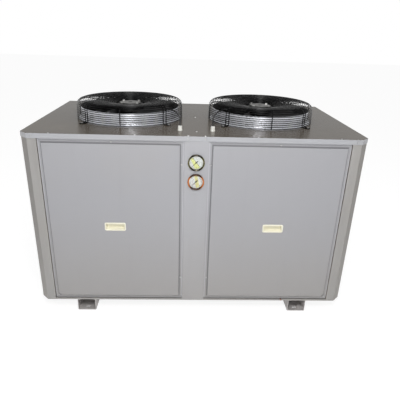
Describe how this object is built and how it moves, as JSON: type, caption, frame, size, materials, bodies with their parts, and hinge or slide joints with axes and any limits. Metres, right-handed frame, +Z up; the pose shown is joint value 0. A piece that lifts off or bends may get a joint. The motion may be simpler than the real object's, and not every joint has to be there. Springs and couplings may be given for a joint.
{
  "type": "refrigeration condensing unit",
  "caption": "Box-shaped refrigeration condensing unit on foot rails, with top fans under wire guards, lift-off front panels with recessed handles, and pressure gauges between them.",
  "frame": {"origin": "centre of the overall box, on the floor under the foot rails", "axes": "+X to the unit's right seen from the front, +Y to the back, +Z up"},
  "size_m": [1.56, 0.876, 1.025],
  "materials": {
    "cabinet_paint": "satin powder coat, light grey",
    "roof_paint": "gloss powder coat, warm grey",
    "post_paint": "satin powder coat, warm grey",
    "foot_galvanised": "galvanised, dull",
    "galvanised": "galvanised, bright",
    "guard_black": "black dipped wire",
    "motor_black": "black",
    "plate_zinc": "zinc plated",
    "blade_black": "black",
    "handle_cream": "moulded, cream",
    "gland_white": "moulded, white",
    "cable_black": "black sheath",
    "rim_olive": "dark olive, polished",
    "rim_copper": "copper brown, polished",
    "dial_white": "printed, matt",
    "pointer_black": "matt",
    "gauge_glass": "clear",
    "screw_zinc": "zinc plated",
    "coil_aluminium": "thin pressed fins",
    "copper": "drawn copper, slightly dulled",
    "compressor_paint": "gloss black",
    "receiver_paint": "satin black",
    "drier_paint": "satin grey",
    "brass": "machined",
    "mount_rubber": "matt",
    "terminal_plastic": "moulded",
    "box_paint": "satin grey"
  },
  "bodies": {
    "cabinet": {"base_pan": "cabinet_paint", "centre_mullion": "cabinet_paint", "front_top_rail": "cabinet_paint", "front_sill": "cabinet_paint", "side_top_rails": "cabinet_paint", "rear_top_rail": "cabinet_paint", "front_post_left": "post_paint", "front_post_right": "post_paint", "rear_post_left": "post_paint", "rear_post_right": "post_paint", "roof_pan": "roof_paint", "roof_rivets": "screw_zinc", "foot_rail_left": "foot_galvanised", "foot_rail_right": "foot_galvanised", "fan_ring_left": "galvanised", "fan_ring_right": "galvanised", "fan_guard_left": "guard_black", "fan_guard_right": "guard_black", "motor_plate_left": "plate_zinc", "motor_plate_right": "plate_zinc", "motor_stator_left": "motor_black", "motor_stator_right": "motor_black", "motor_cable_left": "cable_black", "motor_cable_right": "cable_black", "cable_glands": "gland_white", "fan_bolts": "screw_zinc", "gauge_case_high": "rim_olive", "gauge_case_low": "rim_copper", "gauge_dials": "dial_white", "gauge_glasses": "gauge_glass", "coil_fins_left": "coil_aluminium", "coil_fins_right": "coil_aluminium", "coil_fins_rear": "coil_aluminium", "coil_end_plates": "galvanised", "coil_headers": "copper", "compressor_shell": "compressor_paint", "compressor_mounts": "mount_rubber", "compressor_terminal_box": "terminal_plastic", "liquid_receiver": "receiver_paint", "suction_accumulator": "receiver_paint", "filter_drier": "drier_paint", "sight_glass": "brass", "suction_pipes": "copper", "discharge_pipe": "copper", "liquid_pipes": "copper", "electrical_box": "box_paint", "pipe_grommets": "mount_rubber", "drain_spigot": "copper"},
    "fan_left": {"motor_rotor_left": "motor_black", "fan_blades_left": "blade_black"},
    "fan_right": {"motor_rotor_right": "motor_black", "fan_blades_right": "blade_black"},
    "panel_left": {"access_panel_left": "cabinet_paint", "pull_handle_left": "handle_cream", "panel_screws_left": "screw_zinc"},
    "panel_right": {"access_panel_right": "cabinet_paint", "pull_handle_right": "handle_cream", "panel_screws_right": "screw_zinc"},
    "pointer_high": {"gauge_pointer_high": "pointer_black"},
    "pointer_low": {"gauge_pointer_low": "pointer_black"}
  },
  "joints": [
    {"name": "fan_spin_left", "type": "hinge", "parent": "cabinet", "child": "fan_left", "pos_m": [-0.342, -0.01, 0.965], "axis": [0, 0, 1], "continuous": true},
    {"name": "fan_spin_right", "type": "hinge", "parent": "cabinet", "child": "fan_right", "pos_m": [0.342, -0.01, 0.965], "axis": [0, 0, 1], "continuous": true},
    {"name": "panel_pull_left", "type": "slide", "parent": "cabinet", "child": "panel_left", "axis": [0, -1, 0], "range_m": [0, 0.3]},
    {"name": "panel_pull_right", "type": "slide", "parent": "cabinet", "child": "panel_right", "axis": [0, -1, 0], "range_m": [0, 0.3]},
    {"name": "gauge_high", "type": "hinge", "parent": "cabinet", "child": "pointer_high", "pos_m": [0, -0.428, 0.813], "axis": [0, 1, 0], "range_deg": [0, 270], "stiffness_Nm_per_rad": 0.003},
    {"name": "gauge_low", "type": "hinge", "parent": "cabinet", "child": "pointer_low", "pos_m": [0, -0.428, 0.721], "axis": [0, 1, 0], "range_deg": [0, 270], "stiffness_Nm_per_rad": 0.003}
  ]
}
